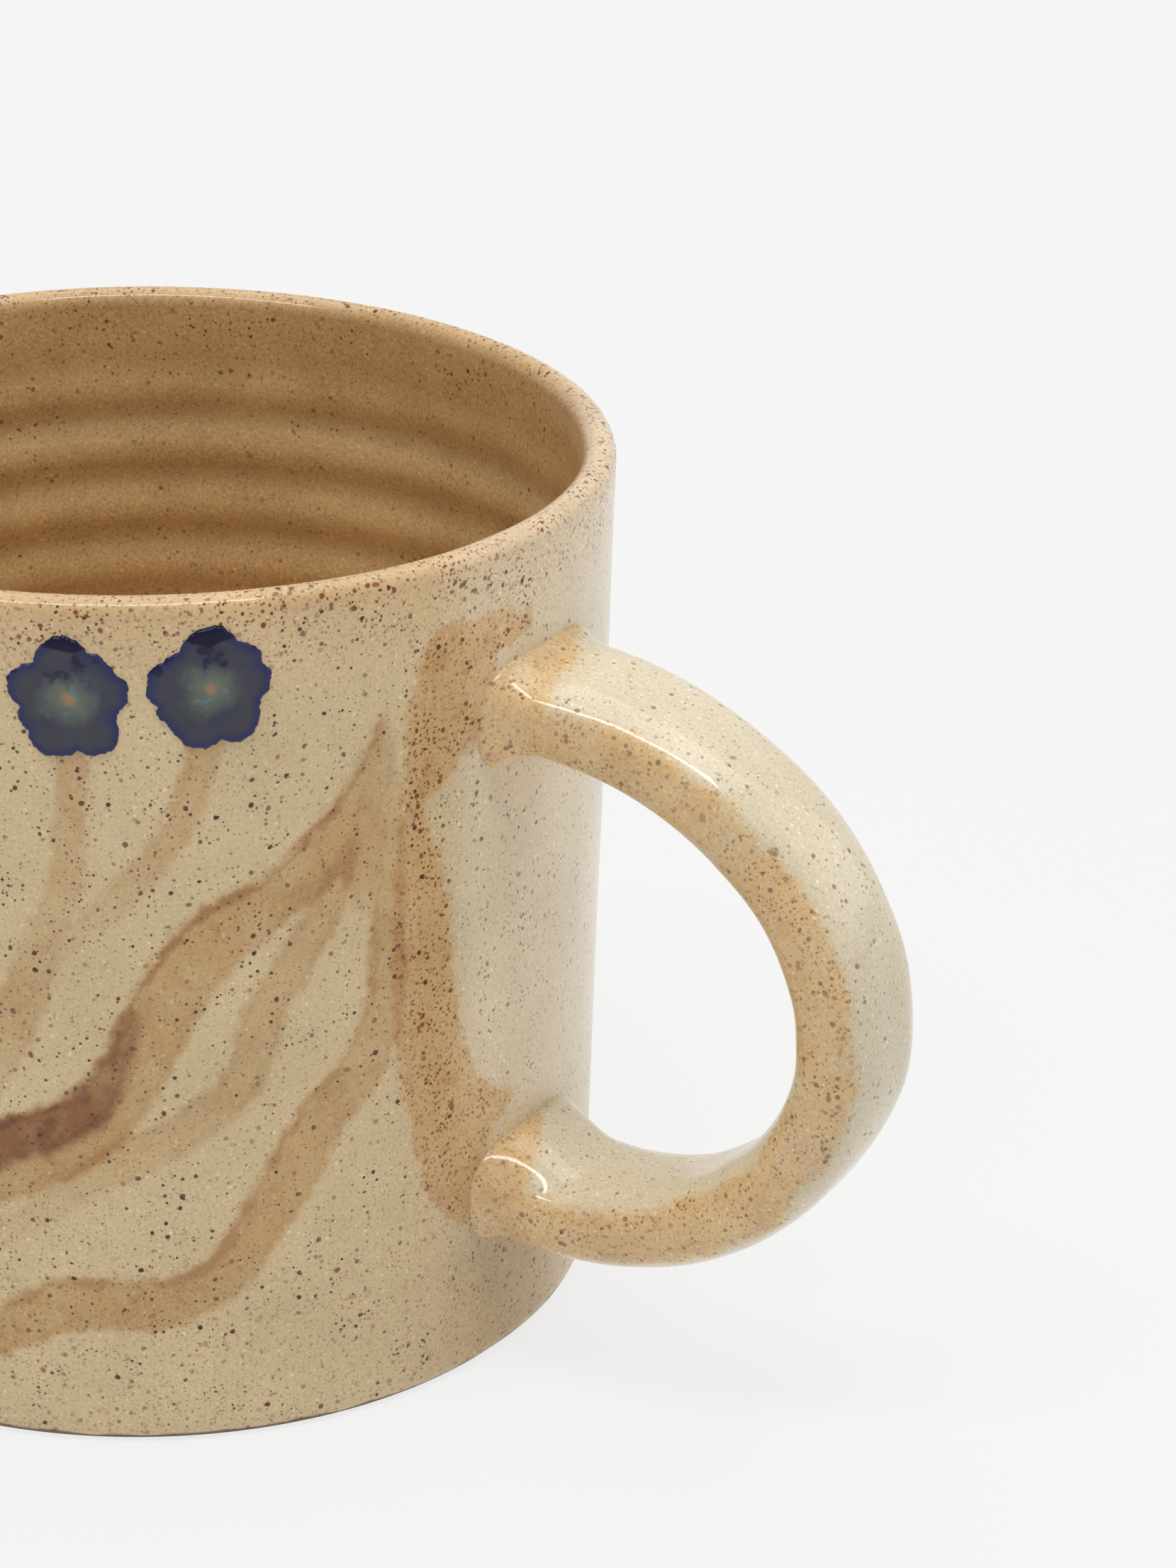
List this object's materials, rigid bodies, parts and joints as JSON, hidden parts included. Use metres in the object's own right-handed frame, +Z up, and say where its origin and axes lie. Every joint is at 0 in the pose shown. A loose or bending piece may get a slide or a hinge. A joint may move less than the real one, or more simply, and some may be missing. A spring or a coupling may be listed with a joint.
{
  "type": "stoneware mug",
  "caption": "Wheel-thrown stoneware mug: a straight-sided round cup with a rounded rim, a flat foot, a big strap handle with slip collars, and small raised glaze flowers.",
  "frame": {"origin": "centre of the flat foot, on the cup's axis, where the mug stands", "axes": "+Z up along the cup's axis, +X from the axis towards the handle"},
  "size_m": [0.1245, 0.088, 0.0835],
  "materials": {
    "cup_glaze": "gloss",
    "handle_glaze": "gloss",
    "joint_glaze": "gloss",
    "blue_glaze": "gloss"
  },
  "bodies": {
    "root": {"cup_body": "cup_glaze", "handle": "handle_glaze", "upper_joint_slip": "joint_glaze", "lower_joint_slip": "joint_glaze", "flower_left": "blue_glaze", "flower_right": "blue_glaze"}
  },
  "joints": []
}
